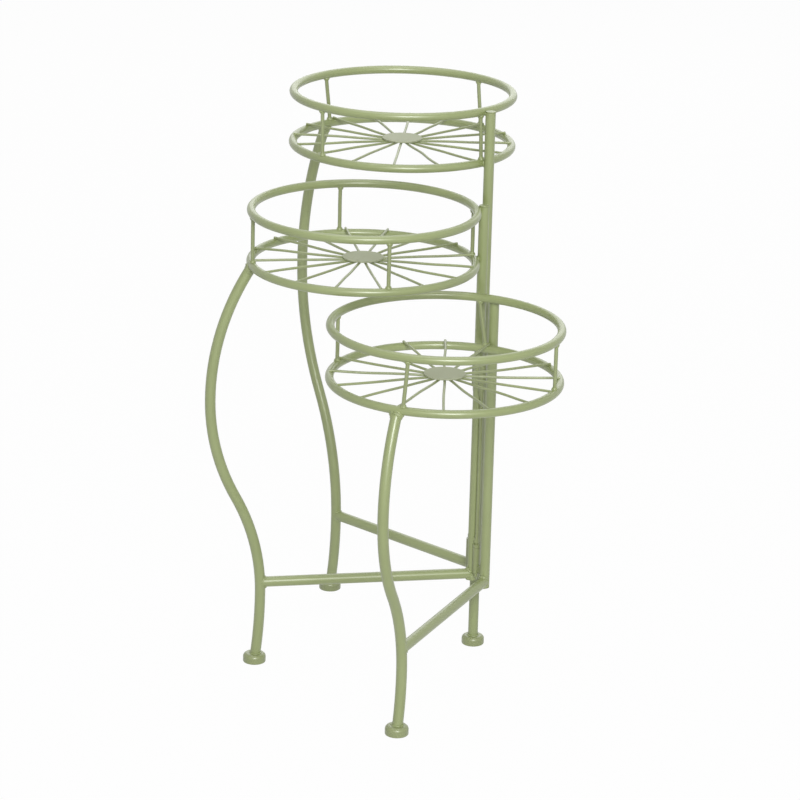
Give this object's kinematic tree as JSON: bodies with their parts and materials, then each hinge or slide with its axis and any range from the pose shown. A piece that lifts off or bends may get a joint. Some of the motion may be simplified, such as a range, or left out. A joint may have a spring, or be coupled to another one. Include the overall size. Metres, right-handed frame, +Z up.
{
  "type": "folding plant stand",
  "caption": "Folding tiered plant stand in green painted steel: hinged frames of different heights, each with an S-bent leg and a round wire basket for a pot.",
  "frame": {"origin": "on the floor, at the middle of the tall post's foot disc", "axes": "+Z up along the posts; -X along the middle frame, from its post to its leg; +Y towards the tall frame's side"},
  "size_m": [0.4153, 0.6044, 0.7094],
  "materials": {
    "tube_paint": "semi-gloss powder coat",
    "wire_paint": "semi-gloss powder coat",
    "hub_paint": "semi-gloss powder coat, slightly paler",
    "foot_paint": "semi-gloss powder coat",
    "cap_paint": "semi-gloss powder coat",
    "hinge_paint": "semi-gloss powder coat, thin at the knuckles"
  },
  "bodies": {
    "tall_frame": {"tall_brace": "tube_paint", "tall_hub_disc": "hub_paint", "tall_knuckle_lugs": "hinge_paint", "tall_leg": "tube_paint", "tall_leg_foot": "foot_paint", "tall_lower_knuckle": "hinge_paint", "tall_lower_ring": "tube_paint", "tall_post": "tube_paint", "tall_post_cap": "cap_paint", "tall_post_foot": "foot_paint", "tall_spokes": "wire_paint", "tall_upper_knuckle": "hinge_paint", "tall_upper_ring": "tube_paint", "tall_uprights": "wire_paint"},
    "middle_frame": {"front_hinge_rod": "hinge_paint", "front_hinge_washers": "hinge_paint", "front_rod_lugs": "hinge_paint", "middle_brace": "tube_paint", "middle_hub_disc": "hub_paint", "middle_leg": "tube_paint", "middle_leg_foot": "foot_paint", "middle_lower_ring": "tube_paint", "middle_post": "tube_paint", "middle_post_cap": "cap_paint", "middle_post_plug": "cap_paint", "middle_spokes": "wire_paint", "middle_upper_ring": "tube_paint", "middle_uprights": "wire_paint", "rear_hinge_rod": "hinge_paint", "rear_hinge_washers": "hinge_paint", "rear_rod_lugs": "hinge_paint"},
    "low_frame": {"low_brace": "tube_paint", "low_hub_disc": "hub_paint", "low_knuckle_lugs": "hinge_paint", "low_leg": "tube_paint", "low_leg_foot": "foot_paint", "low_lower_knuckle": "hinge_paint", "low_lower_ring": "tube_paint", "low_post": "tube_paint", "low_post_cap": "cap_paint", "low_post_plug": "cap_paint", "low_spokes": "wire_paint", "low_upper_knuckle": "hinge_paint", "low_upper_ring": "tube_paint", "low_uprights": "wire_paint"}
  },
  "joints": [
    {"name": "rear_hinge", "type": "hinge", "parent": "tall_frame", "child": "middle_frame", "pos_m": [-0.01144, -0.0164, 0.1132], "axis": [0, 0, 1], "range_deg": [-36, 65]},
    {"name": "front_hinge", "type": "hinge", "parent": "middle_frame", "child": "low_frame", "pos_m": [-0.00726, -0.03898, 0.1132], "axis": [0, 0, 1], "range_deg": [-54, 65]}
  ]
}
